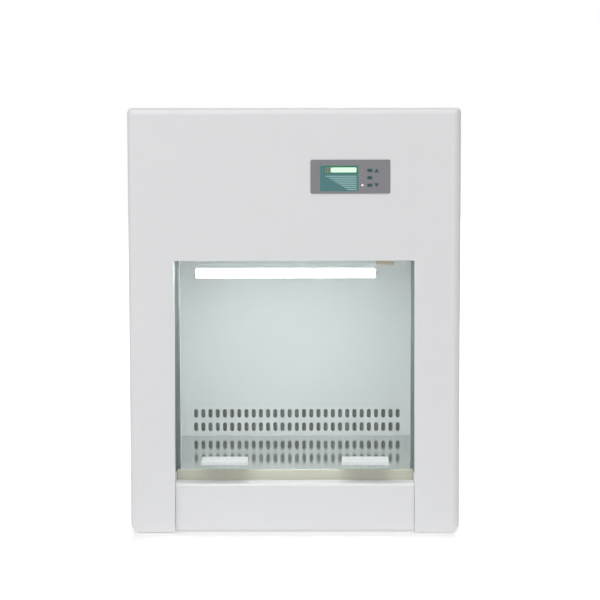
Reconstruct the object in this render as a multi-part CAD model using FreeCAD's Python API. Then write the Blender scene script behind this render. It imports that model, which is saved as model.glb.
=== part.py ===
# Benchtop clean-air work cabinet with a leaning glass sash, in millimetres.
# X runs to the right, Y from the front to the back and Z up. The origin is at the middle of the footprint.
import FreeCAD, Part
import math
import os

os.makedirs("parts", exist_ok=True)

# Whole cabinet
cabinet_width = 653.0
cabinet_depth = 550.0
cabinet_height = 840.0
sheet = 1.5
ground_gap = 2.0
cover_drop = 2.0
rear_recess = 4.0
touch_gap = 0.3

# Front fascia
fascia_wall = 2.0
fascia_depth = 45.0
pillar_width = 89.0
window_drop = 299.0
side_edge_radius = 15.0
top_edge_radius = 16.0
foot_edge_radius = 5.0
top_corner_radius = 9.0
foot_corner_radius = 17.0

# Side panels, base pan, posts and feet
panel_flange = 26.0
pan_flange = 20.0
post_leg = 20.0
foot_radius = 15.0
foot_inset = 50.0

# Lower front panel, sill seal and work tray
lower_panel_set_back = 6.0
lower_panel_lift = 3.0
lower_panel_gap = 0.5
lower_panel_bend = 6.0
lower_panel_hem = 24.0
sill_height = 98.0
work_height = 118.0
seal_set_back = 52.0
seal_thickness = 10.0
seal_edge_radius = 2.0
tray_hem = 16.0
support_flange = 30.0
support_inset = 110.0

# Work chamber
chamber_side_gap = 36.5
rear_duct = 63.0
ceiling_rise = 4.0
trim_lip = 14.0

# Slots of the chamber's back wall
slot_columns = 29
slot_rows = 2
slot_width = 9.0
slot_length = 20.0
slot_pitch = 16.5
slot_row_pitch = 31.0
slot_first_row = 21.0

# Sash, its guides and its pulls
sash_lean = 6.3
glass_thickness = 5.0
glass_engagement = 9.5
glass_overlap = 20.0
guide_thickness = 14.0
guide_back = 142.0
guide_lip = 2.5
guide_head_room = 12.0
groove_clearance = 0.5
groove_foot = 8.0
pull_length = 92.5
pull_spacing = 281.0
pull_reach = 32.0
pull_rise = 27.0
pull_fall = 3.5
pull_lip = 9.0
pull_plate = 17.0
pull_thickness = 2.5

# Air path: diffuser, filter, plenum and fan
diffuser_columns = 16
diffuser_rows = 9
diffuser_slot_width = 8.0
diffuser_slot_length = 24.0
gasket_thickness = 5.0
gasket_width = 16.0
filter_height = 68.0
filter_frame = 18.0
pleat_pitch = 12.0
pleat_margin = 4.0
intake_space = 46.0
bridge_rise = 50.0
bridge_width = 90.0
bridge_thickness = 3.0
bridge_tab = 24.0
motor_radius = 45.0
motor_height = 46.0
shaft_radius = 5.0
shaft_clearance = 0.05
impeller_radius = 95.0
impeller_gap = 5.0
impeller_plate = 2.0
impeller_eye = 66.0
blade_count = 9
blade_thickness = 2.0
blade_sweep = 35.0
hub_radius = 18.0
ring_wall = 2.0
ring_gap = 3.0
ring_flange = 14.0
ring_drop = 12.0
grille_width = 300.0
grille_depth = 240.0
grille_rim = 10.0
grille_skirt = 16.0
grille_wall = 2.0
grille_bars = 15
grille_bar_width = 8.0
pad_thickness = 12.0

# Lamps
lamp_length = 377.0
lamp_offset = -20.0
lamp_set_back = 168.0
lamp_height = 20.0
lamp_depth = 26.0
lamp_drop = 37.0
batten_depth = 8.0
lamp_cap = 3.0
lamp_bracket_width = 5.0
lamp_bracket_foot = 20.0
connector_length = 36.0
connector_drop = 21.0
connector_depth = 24.0
uv_length = 300.0
uv_radius = 7.5
uv_stand_off = 86.0
uv_drop = 11.0
uv_holder_width = 14.0
uv_holder_side = 20.0

# Control panel
bezel_width = 156.0
bezel_height = 66.0
bezel_side_gap = 216.5
bezel_drop = 135.0
bezel_proud = 1.0
bezel_corner = 3.0
bezel_overlap = 4.0
label_width = 75.2
label_height = 50.0
label_shift = 21.7
label_drop = 3.3
label_thickness = 0.4
lcd_width = 64.5
lcd_height = 14.4
lcd_shift = 2.5
lcd_drop = 8.2
board_set_back = 12.0
board_thickness = 1.6
standoff_radius = 2.5
standoff_inset = 9.0
led_radius = 1.5
led_shift = 23.5
key_shift = 37.9
arrow_shift = 51.1
key_drop = 2.2
key_pitch = 14.4
key_length = 10.0
key_height = 5.6
arrow_side = 8.0
key_clearance = 0.3
key_flange = 1.5
key_flange_thickness = 1.5
key_stem = 4.5
key_gap = 0.8
pill_flat = 0.1

# Power inlet module
inlet_side_gap = 101.5
inlet_z = 96.0
inlet_width = 46.0
inlet_height = 88.0
inlet_flange = 3.0
inlet_flange_thickness = 2.5
inlet_body_depth = 30.0
socket_width = 24.6
socket_height = 16.6
socket_depth = 17.0
socket_rise = 26.0
pin_width = 4.0
pin_thickness = 2.0
pin_length = 11.0
pin_spread = 7.0
pin_stagger = 4.0
drawer_width = 26.0
drawer_height = 12.0
drawer_depth = 24.0
drawer_clearance = 0.3
drawer_lip = 1.5
rocker_width = 13.0
rocker_radius = 10.0
rocker_drop = 28.0
rocker_tilt = 10.0
rocker_clearance = 0.6
pivot_radius = 1.5
pivot_length = 3.0
pivot_clearance = 0.05

# Power supply and screws
supply_width = 170.0
supply_depth = 95.0
supply_height = 40.0
supply_edge = 3.0
screw_radius = 1.75
screw_length = 8.0
head_radius = 3.6
head_height = 1.8
head_socket = 1.1
screws_per_side = 5
screw_end_margin = 40.0

# Planes and levels that the pieces share
half_width = cabinet_width / 2
front_y = -cabinet_depth / 2 + bezel_proud
rear_y = cabinet_depth / 2
window_half = half_width - pillar_width
window_top = cabinet_height - window_drop
inner_half = half_width - sheet
panel_top = cabinet_height - cover_drop - sheet
pan_bottom = ground_gap + foot_corner_radius
pan_top = pan_bottom + sheet
chamber_half = half_width - chamber_side_gap
chamber_back = cabinet_depth - bezel_proud - rear_duct
ceiling = window_top + ceiling_rise
gasket_bottom = ceiling + sheet
filter_bottom = gasket_bottom + gasket_thickness
filter_top = filter_bottom + filter_height
lid_bottom = panel_top - intake_space
lamp_centre_z = ceiling - lamp_drop
uv_set_back = chamber_back - uv_stand_off
bezel_x = half_width - bezel_side_gap
bezel_z = cabinet_height - bezel_drop
label_x = bezel_x - label_shift
label_z = bezel_z - label_drop
lcd_x = label_x + lcd_shift
led_x = bezel_x + led_shift
key_x = bezel_x + key_shift
arrow_x = bezel_x + arrow_shift
key_z = bezel_z - key_drop
inlet_x = half_width - inlet_side_gap
tray_front = seal_set_back + seal_thickness
rear_panel_y = rear_y - rear_recess - sheet
stack_half = chamber_half + sheet
lean = math.radians(sash_lean)


def at(set_back):
    """The Y of a plane that lies a set-back behind the fascia's front."""
    return front_y + set_back


stack_front = at(guide_back)
stack_back = at(chamber_back) + sheet
fan_y = (stack_front + stack_back) / 2


def block(x0, x1, y0, y1, z0, z1):
    """A box between two corners."""
    return Part.makeBox(x1 - x0, y1 - y0, z1 - z0, FreeCAD.Vector(x0, y0, z0))


def rod(centre, axis, radius, length):
    """A round bar that starts at a centre and runs along an axis."""
    return Part.makeCylinder(radius, length, FreeCAD.Vector(*centre), FreeCAD.Vector(*axis))


def on_xz(y):
    """Puts a flat drawing's (x, z) points on the plane at y."""
    return lambda a, b: FreeCAD.Vector(a, y, b)


def on_yz(x):
    """Puts a flat drawing's (y, z) points on the plane at x."""
    return lambda a, b: FreeCAD.Vector(x, a, b)


def on_xy(z):
    """Puts a flat drawing's (x, y) points on the plane at z."""
    return lambda a, b: FreeCAD.Vector(a, b, z)


def prism(points, place, run):
    """A straight-sided outline, closed and carried along a run."""
    corners = [place(a, b) for a, b in points]
    return Part.Face(Part.makePolygon(corners + corners[:1])).extrude(FreeCAD.Vector(*run))


def unit(start, end):
    """The direction from one flat point to another."""
    span = math.hypot(end[0] - start[0], end[1] - start[1])
    return (end[0] - start[0]) / span, (end[1] - start[1]) / span


def rounded_edges(points, radii, place):
    """An open line of straight runs with an arc of its own radius at each inner point."""
    edges = []
    pen = points[0]
    for before, corner, after, radius in zip(points, points[1:], points[2:], radii):
        d1 = unit(before, corner)
        d2 = unit(corner, after)
        turn = math.acos(max(-1.0, min(1.0, d1[0] * d2[0] + d1[1] * d2[1])))
        cut = radius * math.tan(turn / 2)
        begin = (corner[0] - d1[0] * cut, corner[1] - d1[1] * cut)
        finish = (corner[0] + d2[0] * cut, corner[1] + d2[1] * cut)
        inward = unit((0, 0), (d2[0] - d1[0], d2[1] - d1[1]))
        reach = radius / math.cos(turn / 2) - radius
        middle = (corner[0] + inward[0] * reach, corner[1] + inward[1] * reach)
        edges.append(Part.LineSegment(place(*pen), place(*begin)).toShape())
        edges.append(Part.Arc(place(*begin), place(*middle), place(*finish)).toShape())
        pen = finish
    edges.append(Part.LineSegment(place(*pen), place(*points[-1])).toShape())
    return edges


def folded(points, radii, thickness, place, run):
    """A bent sheet: the drawn line is one face, and the thickness lies to its left."""
    offset = []
    count = len(points)
    for i in range(count):
        d1 = unit(points[max(i - 1, 0)], points[max(i, 1)])
        d2 = unit(points[min(i, count - 2)], points[min(i + 1, count - 1)])
        share = thickness / (1 + d1[0] * d2[0] + d1[1] * d2[1])
        offset.append((points[i][0] - (d1[1] + d2[1]) * share, points[i][1] + (d1[0] + d2[0]) * share))
    inner_radii = []
    for before, corner, after, radius in zip(points, points[1:], points[2:], radii):
        d1 = unit(before, corner)
        d2 = unit(corner, after)
        left_turn = d1[0] * d2[1] - d1[1] * d2[0] > 0
        inner_radii.append(radius - thickness if left_turn else radius + thickness)
    outside = rounded_edges(points, radii, place)
    inside = rounded_edges(offset, inner_radii, place)
    ends = [
        Part.LineSegment(place(*points[0]), place(*offset[0])).toShape(),
        Part.LineSegment(place(*points[-1]), place(*offset[-1])).toShape(),
    ]
    wire = Part.Wire(Part.__sortEdges__(outside + inside + ends))
    return Part.Face(wire).extrude(FreeCAD.Vector(*run))


def rounded_plate(x0, x1, z0, z1, top_radius, bottom_radius, y0, y1):
    """An upright plate whose top and bottom corners have their own radii."""
    middle = (x0 + x1) / 2
    outline = [(middle, z0), (x1, z0), (x1, z1), (x0, z1), (x0, z0), (middle, z0)]
    radii = [bottom_radius, top_radius, top_radius, bottom_radius]
    wire = Part.Wire(rounded_edges(outline, radii, on_xz(y0)))
    return Part.Face(wire).extrude(FreeCAD.Vector(0, y1 - y0, 0))


def flat_plate(x0, x1, y0, y1, radius, z0, z1):
    """A level plate with one radius on its four corners."""
    middle = (x0 + x1) / 2
    outline = [(middle, y0), (x1, y0), (x1, y1), (x0, y1), (x0, y0), (middle, y0)]
    wire = Part.Wire(rounded_edges(outline, [radius] * 4, on_xy(z0)))
    return Part.Face(wire).extrude(FreeCAD.Vector(0, 0, z1 - z0))


def mirrored(shape):
    """The same shape on the other side of the cabinet's middle plane."""
    return shape.mirror(FreeCAD.Vector(0, 0, 0), FreeCAD.Vector(1, 0, 0))


def drilled(shape, tools):
    """A shape with a group of holes cut from it."""
    return shape.cut(Part.makeCompound(tools))


def slope_point(along, through):
    """A (y, z) point of the sash's lean: along it from the sill, and through it to the back."""
    y = at(seal_set_back) + along * math.sin(lean) + through * math.cos(lean)
    z = work_height + along * math.cos(lean) - through * math.sin(lean)
    return y, z


def slope_height(set_back):
    """The height at which the front line of the lean reaches a set-back."""
    return work_height + (set_back - seal_set_back) / math.tan(lean)


def slope_y(height):
    """The Y of the front line of the lean at a height."""
    return at(seal_set_back) + (height - work_height) * math.tan(lean)


# Outer casing
def fascia_form(inset):
    """The outside of the fascia drawn in by an inset, with its own radius on each kind of edge."""
    half = half_width - inset
    bottom = ground_gap + inset
    top = cabinet_height - inset
    front = front_y + inset
    back = at(fascia_depth) + inset
    box = block(-half, half, front, back, bottom, top)
    edges = []
    for number, edge in enumerate(box.Edges, 1):
        middle = edge.CenterOfMass
        at_side = abs(abs(middle.x) - half) < sheet
        at_front = abs(middle.y - front) < sheet
        at_top = abs(middle.z - top) < sheet
        at_foot = abs(middle.z - bottom) < sheet
        radius = 0.0
        if at_front and at_side:
            radius = side_edge_radius - inset
        elif at_front and at_top:
            radius = top_edge_radius - inset
        elif at_front and at_foot:
            radius = foot_edge_radius - inset
        elif at_side and at_top:
            radius = top_corner_radius - inset
        elif at_side and at_foot:
            radius = foot_corner_radius - inset
        if radius > 0:
            edges.append((number, radius, radius))
    base = document.addObject("Part::Feature", "fascia_box")
    base.Shape = box
    rounded = document.addObject("Part::Fillet", "fascia_rounded")
    rounded.Base = base
    rounded.Edges = edges
    document.recompute()
    return rounded.Shape


def front_fascia():
    """The inverted-U front: a hollow pressing with returns round its window and wedge-shaped reveals."""
    below = ground_gap - fascia_wall
    behind = at(fascia_depth) + 2 * fascia_wall
    window = block(-window_half, window_half, front_y - sheet, behind, below, window_top)
    lined = block(-window_half - fascia_wall, window_half + fascia_wall, front_y, behind, below,
                  window_top + fascia_wall)
    hollow = fascia_form(fascia_wall).cut(lined)
    shell = fascia_form(0.0).cut(window).cut(hollow)
    opening = block(bezel_x - bezel_width / 2 + bezel_overlap, bezel_x + bezel_width / 2 - bezel_overlap,
                    front_y - sheet, at(2 * fascia_wall),
                    bezel_z - bezel_height / 2 + bezel_overlap, bezel_z + bezel_height / 2 - bezel_overlap)
    shell = shell.cut(opening)
    head = window_top + fascia_wall
    back = at(fascia_depth)
    wedge = [(back, slope_height(fascia_depth)), (slope_y(head), head), (back, head)]
    reveal = prism(wedge, on_yz(window_half), (fascia_wall, 0, 0))
    return shell.fuse([reveal, mirrored(reveal)]).removeSplitter()


def side_panel():
    """A folded side of the casing, with a flange at its top and one at its foot."""
    line = [(half_width - panel_flange, ground_gap), (half_width, ground_gap),
            (half_width, panel_top), (half_width - panel_flange, panel_top)]
    panel = folded(line, [foot_corner_radius, top_corner_radius], sheet, on_xz(at(fascia_depth)),
                   (0, rear_y - at(fascia_depth), 0))
    return drilled(panel, [rod((x, y, panel_top - screw_length), (0, 0, 1), screw_radius, screw_length)
                           for x, y in cover_screw_places() if x > 0])


def cover_screw_places():
    """The (x, y) of the top cover's screws, along both side flanges."""
    x = half_width - (panel_flange + top_corner_radius) / 2
    first = at(fascia_depth) + screw_end_margin
    step = (rear_y - screw_end_margin - first) / (screws_per_side - 1)
    return [(side * x, first + step * i) for side in (-1, 1) for i in range(screws_per_side)]


def rear_screw_places():
    """The (x, z) of the rear panel's screws, along both posts."""
    x = inner_half - post_leg / 2
    first = post_bottom() + screw_end_margin
    step = (post_top() - screw_end_margin - first) / (screws_per_side - 1)
    return [(side * x, first + step * i) for side in (-1, 1) for i in range(screws_per_side)]


def post_bottom():
    """The foot of the rear posts, on the base pan's upturned flanges."""
    return pan_top + pan_flange


def post_top():
    """The head of the rear posts, below the bend of the side panels."""
    return panel_top - top_corner_radius


def rear_posts():
    """Two corner angles that carry the rear panel."""
    line = [(inner_half, rear_panel_y - post_leg), (inner_half, rear_panel_y),
            (inner_half - post_leg, rear_panel_y)]
    post = folded(line, [sheet * 2], sheet, on_xy(post_bottom()), (0, 0, post_top() - post_bottom()))
    post = drilled(post, [rod((x, rear_panel_y - screw_length, z), (0, 1, 0), screw_radius, screw_length)
                          for x, z in rear_screw_places() if x > 0])
    return Part.makeCompound([post, mirrored(post)])


def rear_panel():
    """The recessed back, with the power module's cut-out and the screw holes."""
    outer = rear_panel_y + sheet
    panel = rounded_plate(-inner_half, inner_half, ground_gap + sheet, panel_top - sheet,
                          top_corner_radius - sheet, foot_corner_radius - sheet, rear_panel_y, outer)
    holes = [rod((x, rear_panel_y, z), (0, 1, 0), screw_radius, sheet) for x, z in rear_screw_places()]
    holes.append(block(inlet_x - inlet_width / 2, inlet_x + inlet_width / 2, rear_panel_y, outer,
                       inlet_z - inlet_height / 2, inlet_z + inlet_height / 2))
    return drilled(panel, holes)


def top_cover():
    """The flat lid that lies on the side panels' flanges, open under the intake grille."""
    x = half_width - top_corner_radius
    cover = block(-x, x, at(fascia_depth), rear_y, panel_top, panel_top + sheet)
    holes = [rod((x, y, panel_top), (0, 0, 1), screw_radius, sheet) for x, y in cover_screw_places()]
    holes.append(block(-grille_width / 2, grille_width / 2, fan_y - grille_depth / 2,
                       fan_y + grille_depth / 2, panel_top, panel_top + sheet))
    return drilled(cover, holes)


def base_pan():
    """The floor of the casing, with a flange turned up along each side and a tongue to the lower panel."""
    back = rear_panel_y
    line = [(-inner_half, pan_top + pan_flange), (-inner_half, pan_bottom),
            (inner_half, pan_bottom), (inner_half, pan_top + pan_flange)]
    pan = folded(line, [2 * sheet, 2 * sheet], sheet, on_xz(at(fascia_depth)),
                 (0, back - at(fascia_depth), 0))
    tongue_half = window_half - lower_panel_gap
    tongue = block(-tongue_half, tongue_half, at(lower_panel_set_back + sheet), at(fascia_depth),
                   pan_bottom, pan_top)
    return pan.fuse(tongue).removeSplitter()


def rubber_feet():
    """Four tapered feet under the base pan."""
    feet = []
    front = at(fascia_depth + foot_inset)
    back = rear_panel_y - foot_inset
    for x in (-half_width + foot_inset, half_width - foot_inset):
        for y in (front, back):
            feet.append(Part.makeCone(foot_radius - sheet, foot_radius, pan_bottom, FreeCAD.Vector(x, y, 0)))
    return Part.makeCompound(feet)


# Work chamber
def lower_front_panel():
    """The folded panel under the window, with a ledge along its top and a hem along its foot."""
    half = window_half - lower_panel_gap
    front = at(lower_panel_set_back)
    foot = ground_gap + lower_panel_lift
    line = [(at(tray_front), sill_height), (front, sill_height), (front, foot),
            (front + lower_panel_hem, foot)]
    return folded(line, [lower_panel_bend, 2 * sheet], sheet, on_yz(-half), (2 * half, 0, 0))


def sill_seal():
    """The pale strip that the sash closes on."""
    half = window_half - lower_panel_gap
    strip = block(-half, half, at(seal_set_back), at(tray_front), sill_height, work_height)
    edge = [e for e in strip.Edges if e.CenterOfMass.y < at(seal_set_back) + touch_gap
            and e.CenterOfMass.z > work_height - touch_gap]
    return strip.makeFillet(seal_edge_radius, edge)


def work_tray():
    """The polished steel floor of the chamber: narrow between the guides and wide behind them."""
    narrow = window_half - lower_panel_gap
    wide = chamber_half
    under = work_height - sheet
    front = block(-narrow, narrow, at(tray_front), at(guide_back), under, work_height)
    rear = block(-wide, wide, at(guide_back), at(chamber_back), under, work_height)
    hem = block(-narrow, narrow, at(tray_front), at(tray_front) + sheet, work_height - tray_hem, work_height)
    return front.fuse([rear, hem]).removeSplitter()


def tray_supports():
    """Two channels on the base pan that carry the work tray."""
    x = chamber_half - support_inset
    line = [(x - support_flange, pan_top), (x, pan_top),
            (x, work_height - sheet), (x - support_flange, work_height - sheet)]
    start = at(tray_front) + support_flange
    channel = folded(line, [2 * sheet, 2 * sheet], sheet, on_xz(start),
                     (0, at(chamber_back) - support_flange - start, 0))
    return Part.makeCompound([channel, mirrored(channel)])


def chamber_wall():
    """One flat side of the chamber, from the base pan to the ceiling."""
    return block(chamber_half, stack_half, at(guide_back), at(chamber_back), pan_top, ceiling)


def chamber_trim():
    """The folded upright that closes the corner between a sash guide and the chamber's side."""
    front = at(guide_back)
    line = [(window_half, front + trim_lip), (window_half, front), (chamber_half, front)]
    return folded(line, [2 * sheet], sheet, on_xy(work_height), (0, 0, ceiling - work_height))


def slot(x, z):
    """One upright round-ended slot through the chamber's back wall."""
    radius = slot_width / 2
    y = at(chamber_back)
    straight = (slot_length - slot_width) / 2
    body = block(x - radius, x + radius, y, y + sheet, z - straight, z + straight)
    ends = [rod((x, y, z + end), (0, 1, 0), radius, sheet) for end in (-straight, straight)]
    return body.fuse(ends)


def chamber_back_wall():
    """The back of the chamber, with rows of return-air slots above the tray."""
    y = at(chamber_back)
    wall = block(-stack_half, stack_half, y, y + sheet, pan_top, ceiling)
    first_x = -slot_pitch * (slot_columns - 1) / 2
    places = [(first_x + slot_pitch * i, work_height + slot_first_row + slot_row_pitch * row)
              for row in range(slot_rows) for i in range(slot_columns)]
    return drilled(wall, [slot(x, z) for x, z in places])


# Sash
def sash_guide():
    """A dark upright with a leaning groove that the glass slides in."""
    top = panel_top - guide_head_room
    front = at(fascia_depth)
    back = at(guide_back)
    outline = [(front, pan_top), (front, slope_height(fascia_depth)), (slope_y(top), top),
               (back, top), (back, pan_top)]
    guide = prism(outline, on_yz(window_half), (guide_thickness, 0, 0))
    near = guide_lip
    far = guide_lip + glass_thickness + 2 * groove_clearance
    past = cabinet_height
    groove = [slope_point(-groove_foot, near), slope_point(past, near),
              slope_point(past, far), slope_point(-groove_foot, far)]
    return guide.cut(prism(groove, on_yz(window_half), (glass_engagement + groove_clearance, 0, 0)))


def glass_bottom():
    """How far up the lean the glass starts, so that its rear edge just clears the seal."""
    through = guide_lip + groove_clearance + glass_thickness
    return (touch_gap + through * math.sin(lean)) / math.cos(lean)


def glass_top():
    """How far up the lean the glass ends, behind the fascia's head."""
    return (window_top + glass_overlap - work_height) / math.cos(lean)


def sash_glass():
    """The pane, a plain sheet of toughened glass."""
    half = window_half + glass_engagement
    near = guide_lip + groove_clearance
    far = near + glass_thickness
    outline = [slope_point(glass_bottom(), near), slope_point(glass_top(), near),
               slope_point(glass_top(), far), slope_point(glass_bottom(), far)]
    return prism(outline, on_yz(-half), (2 * half, 0, 0))


def sash_pull():
    """A folded finger pull on the outside of the glass: plate, shelf and lip."""
    near = guide_lip + groove_clearance
    foot = slope_point(pull_rise - pull_plate, near)
    head = slope_point(pull_rise, near)
    edge = (head[0] - pull_reach, head[1] - pull_fall)
    lip = (edge[0], edge[1] - pull_lip)
    start = pull_spacing / 2 - pull_length / 2
    line = [foot, head, edge, lip]
    return folded(line, [pull_thickness + touch_gap, pull_thickness * 2], pull_thickness, on_yz(start),
                  (pull_length, 0, 0))


# Air path
def ceiling_diffuser():
    """The perforated ceiling under the filter."""
    plate = block(-stack_half, stack_half, stack_front, stack_back, ceiling, gasket_bottom)
    step_x = 2 * (chamber_half - filter_frame) / diffuser_columns
    step_y = (stack_back - stack_front - 2 * filter_frame) / diffuser_rows
    radius = diffuser_slot_width / 2
    straight = (diffuser_slot_length - diffuser_slot_width) / 2
    holes = []
    for i in range(diffuser_columns):
        for j in range(diffuser_rows):
            x = -chamber_half + filter_frame + step_x * (i + 0.5)
            y = stack_front + filter_frame + step_y * (j + 0.5)
            holes.append(flat_plate(x - radius - straight, x + radius + straight, y - radius, y + radius,
                                    radius - touch_gap, ceiling, gasket_bottom))
    return drilled(plate, holes)


def frame_ring(wall, bottom, top):
    """A four-sided ring over the chamber's footprint."""
    outer = block(-stack_half, stack_half, stack_front, stack_back, bottom, top)
    inner = block(-stack_half + wall, stack_half - wall, stack_front + wall, stack_back - wall, bottom, top)
    return outer.cut(inner)


def hepa_media():
    """The pleated pack that fills the filter's frame."""
    half = stack_half - filter_frame
    low = filter_bottom + pleat_margin
    high = filter_top - pleat_margin
    count = int(2 * half / pleat_pitch)
    pitch = 2 * half / count
    crest = [(-half + pitch * (i + 0.5 * odd), high - pleat_margin * (1 - odd))
             for i in range(count) for odd in (0, 1)]
    crest.append((half, high - pleat_margin))
    root = [(x, z - high + pleat_margin + low) for x, z in reversed(crest)]
    front = stack_front + filter_frame
    return prism(crest + root, on_xz(front), (0, stack_back - stack_front - 2 * filter_frame, 0))


def plenum_lid():
    """The plate over the plenum, with the fan's round inlet."""
    plate = block(-stack_half, stack_half, stack_front, stack_back, lid_bottom, lid_bottom + sheet)
    return plate.cut(rod((0, fan_y, lid_bottom), (0, 0, 1), ring_radius() + ring_wall, sheet))


def ring_radius():
    """The bore of the inlet ring, inside the impeller's eye by its running gap."""
    return impeller_eye - ring_gap - ring_wall


def inlet_ring():
    """The turned ring that leads the air from the lid into the impeller."""
    top = lid_bottom + sheet
    flange = rod((0, fan_y, top), (0, 0, 1), ring_radius() + ring_wall + ring_flange, ring_wall)
    tube = rod((0, fan_y, lid_bottom - ring_drop), (0, 0, 1), ring_radius() + ring_wall,
               ring_drop + sheet + ring_wall)
    bore = rod((0, fan_y, lid_bottom - ring_drop), (0, 0, 1), ring_radius(), ring_drop + sheet + ring_wall)
    return flange.fuse(tube).cut(bore).removeSplitter()


def bridge_top():
    """The level of the motor's seat."""
    return filter_top + bridge_rise + bridge_thickness


def motor_bridge():
    """The bar across the plenum that carries the motor, with a tab on each wall."""
    half = stack_half - sheet
    low = filter_top + bridge_rise
    line = [(-half, low + bridge_tab), (-half, low), (half, low), (half, low + bridge_tab)]
    return folded(line, [2 * bridge_thickness] * 2, bridge_thickness, on_xz(fan_y - bridge_width / 2),
                  (0, bridge_width, 0))


def fan_motor():
    """The flat motor on the bridge, bored for its shaft."""
    body = rod((0, fan_y, bridge_top()), (0, 0, 1), motor_radius, motor_height)
    body = body.makeChamfer(ring_wall, [e for e in body.Edges if e.CenterOfMass.z > bridge_top() + sheet
                                        and e.isClosed()])
    bore = rod((0, fan_y, bridge_top() + bridge_thickness), (0, 0, 1), shaft_radius + shaft_clearance,
               motor_height)
    return body.cut(bore)


def impeller_bottom():
    """The underside of the impeller's back plate."""
    return bridge_top() + motor_height + impeller_gap


def impeller_top():
    """The top of the impeller's shroud, round the inlet ring's foot."""
    return lid_bottom - ring_gap


def fan_shaft():
    """The steel shaft, from the foot of the motor's bore to the top of the hub."""
    low = bridge_top() + bridge_thickness + touch_gap
    return rod((0, fan_y, low), (0, 0, 1), shaft_radius, hub_top() - low)


def hub_top():
    """The top of the impeller's hub."""
    return impeller_bottom() + (impeller_top() - impeller_bottom()) / 2


def fan_impeller():
    """A backward-curved wheel: back plate, hub, swept blades and an open shroud."""
    low = impeller_bottom()
    high = impeller_top()
    plate = rod((0, fan_y, low), (0, 0, 1), impeller_radius, impeller_plate)
    hub = rod((0, fan_y, low), (0, 0, 1), hub_radius, hub_top() - low)
    shroud = rod((0, fan_y, high - impeller_plate), (0, 0, 1), impeller_radius, impeller_plate)
    shroud = shroud.cut(rod((0, fan_y, low), (0, 0, 1), impeller_eye, high - low))
    blades = []
    for i in range(blade_count):
        blade = block(impeller_eye - impeller_plate, impeller_radius, -blade_thickness / 2,
                      blade_thickness / 2, low, high)
        blade.rotate(FreeCAD.Vector(impeller_eye, 0, 0), FreeCAD.Vector(0, 0, 1), blade_sweep)
        blade.rotate(FreeCAD.Vector(0, 0, 0), FreeCAD.Vector(0, 0, 1), 360.0 * i / blade_count)
        blade.translate(FreeCAD.Vector(0, fan_y, 0))
        blades.append(blade)
    wheel = plate.fuse([hub, shroud] + blades)
    inside = rod((0, fan_y, low), (0, 0, 1), impeller_radius, high - low)
    bore = rod((0, fan_y, low), (0, 0, 1), shaft_radius, high - low)
    return wheel.common(inside).cut(bore).removeSplitter()


def intake_grille():
    """The moulded grille in the top cover: a rim, a skirt through the cover and a row of slots."""
    half_x = grille_width / 2
    half_y = grille_depth / 2
    top = panel_top + sheet
    rim = flat_plate(-half_x - grille_rim, half_x + grille_rim, fan_y - half_y - grille_rim,
                     fan_y + half_y + grille_rim, grille_rim, top, cabinet_height)
    inset = touch_gap
    skirt = block(-half_x + inset, half_x - inset, fan_y - half_y + inset, fan_y + half_y - inset,
                  top - grille_skirt, top)
    wall = inset + grille_wall
    room = block(-half_x + wall, half_x - wall, fan_y - half_y + wall, fan_y + half_y - wall,
                 top - grille_skirt, top)
    step = (grille_width - 2 * grille_rim) / grille_bars
    openings = []
    for i in range(grille_bars):
        x = -half_x + grille_rim + step * (i + 0.5)
        openings.append(block(x - grille_bar_width / 2, x + grille_bar_width / 2,
                              fan_y - half_y + grille_rim, fan_y + half_y - grille_rim, top, cabinet_height))
    return drilled(rim.fuse(skirt.cut(room)).removeSplitter(), openings)


def prefilter_pad():
    """The coarse filter mat held inside the grille's skirt."""
    half_x = grille_width / 2 - touch_gap - grille_wall
    half_y = grille_depth / 2 - touch_gap - grille_wall
    top = panel_top + sheet
    return block(-half_x, half_x, fan_y - half_y, fan_y + half_y, top - pad_thickness, top)


# Lamps
def lamp_section(front, back, place, run):
    """The lamp's section: flat at the back, and half round in front where it reaches that far."""
    radius = lamp_height / 2
    low = lamp_centre_z - radius
    line = [(back, lamp_centre_z), (back, low), (front, low), (front, low + lamp_height),
            (back, low + lamp_height), (back, lamp_centre_z)]
    round_front = front < at(lamp_set_back) + touch_gap
    corner = radius - touch_gap if round_front else touch_gap
    wire = Part.Wire(rounded_edges(line, [touch_gap, corner, corner, touch_gap], place))
    return Part.Face(wire).extrude(FreeCAD.Vector(*run))


def lamp_diffuser():
    """The milky front of the lamp."""
    start = lamp_offset - lamp_length / 2 + lamp_cap
    return lamp_section(at(lamp_set_back), at(lamp_set_back + lamp_depth - batten_depth), on_yz(start),
                        (lamp_length - 2 * lamp_cap, 0, 0))


def lamp_batten():
    """The metal spine behind the lamp's diffuser."""
    start = lamp_offset - lamp_length / 2 + lamp_cap
    return lamp_section(at(lamp_set_back + lamp_depth - batten_depth), at(lamp_set_back + lamp_depth),
                        on_yz(start), (lamp_length - 2 * lamp_cap, 0, 0))


def lamp_end_caps():
    """A moulded cap on each end of the lamp."""
    start = lamp_offset - lamp_length / 2
    return Part.makeCompound([lamp_section(at(lamp_set_back), at(lamp_set_back + lamp_depth), on_yz(x),
                                           (lamp_cap, 0, 0))
                              for x in (start, start + lamp_length - lamp_cap)])


def lamp_brackets():
    """Two bent hangers from the ceiling to the lamp's spine."""
    back = at(lamp_set_back + lamp_depth)
    low = lamp_centre_z - lamp_height / 2
    line = [(back, low), (back, ceiling), (back + lamp_bracket_foot, ceiling)]
    left = lamp_offset - lamp_length / 2 + lamp_cap
    right = lamp_offset + lamp_length / 2 - lamp_cap - lamp_bracket_width
    return Part.makeCompound([folded(line[::-1], [2 * sheet], sheet, on_yz(x), (lamp_bracket_width, 0, 0))
                              for x in (left, right)])


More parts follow.
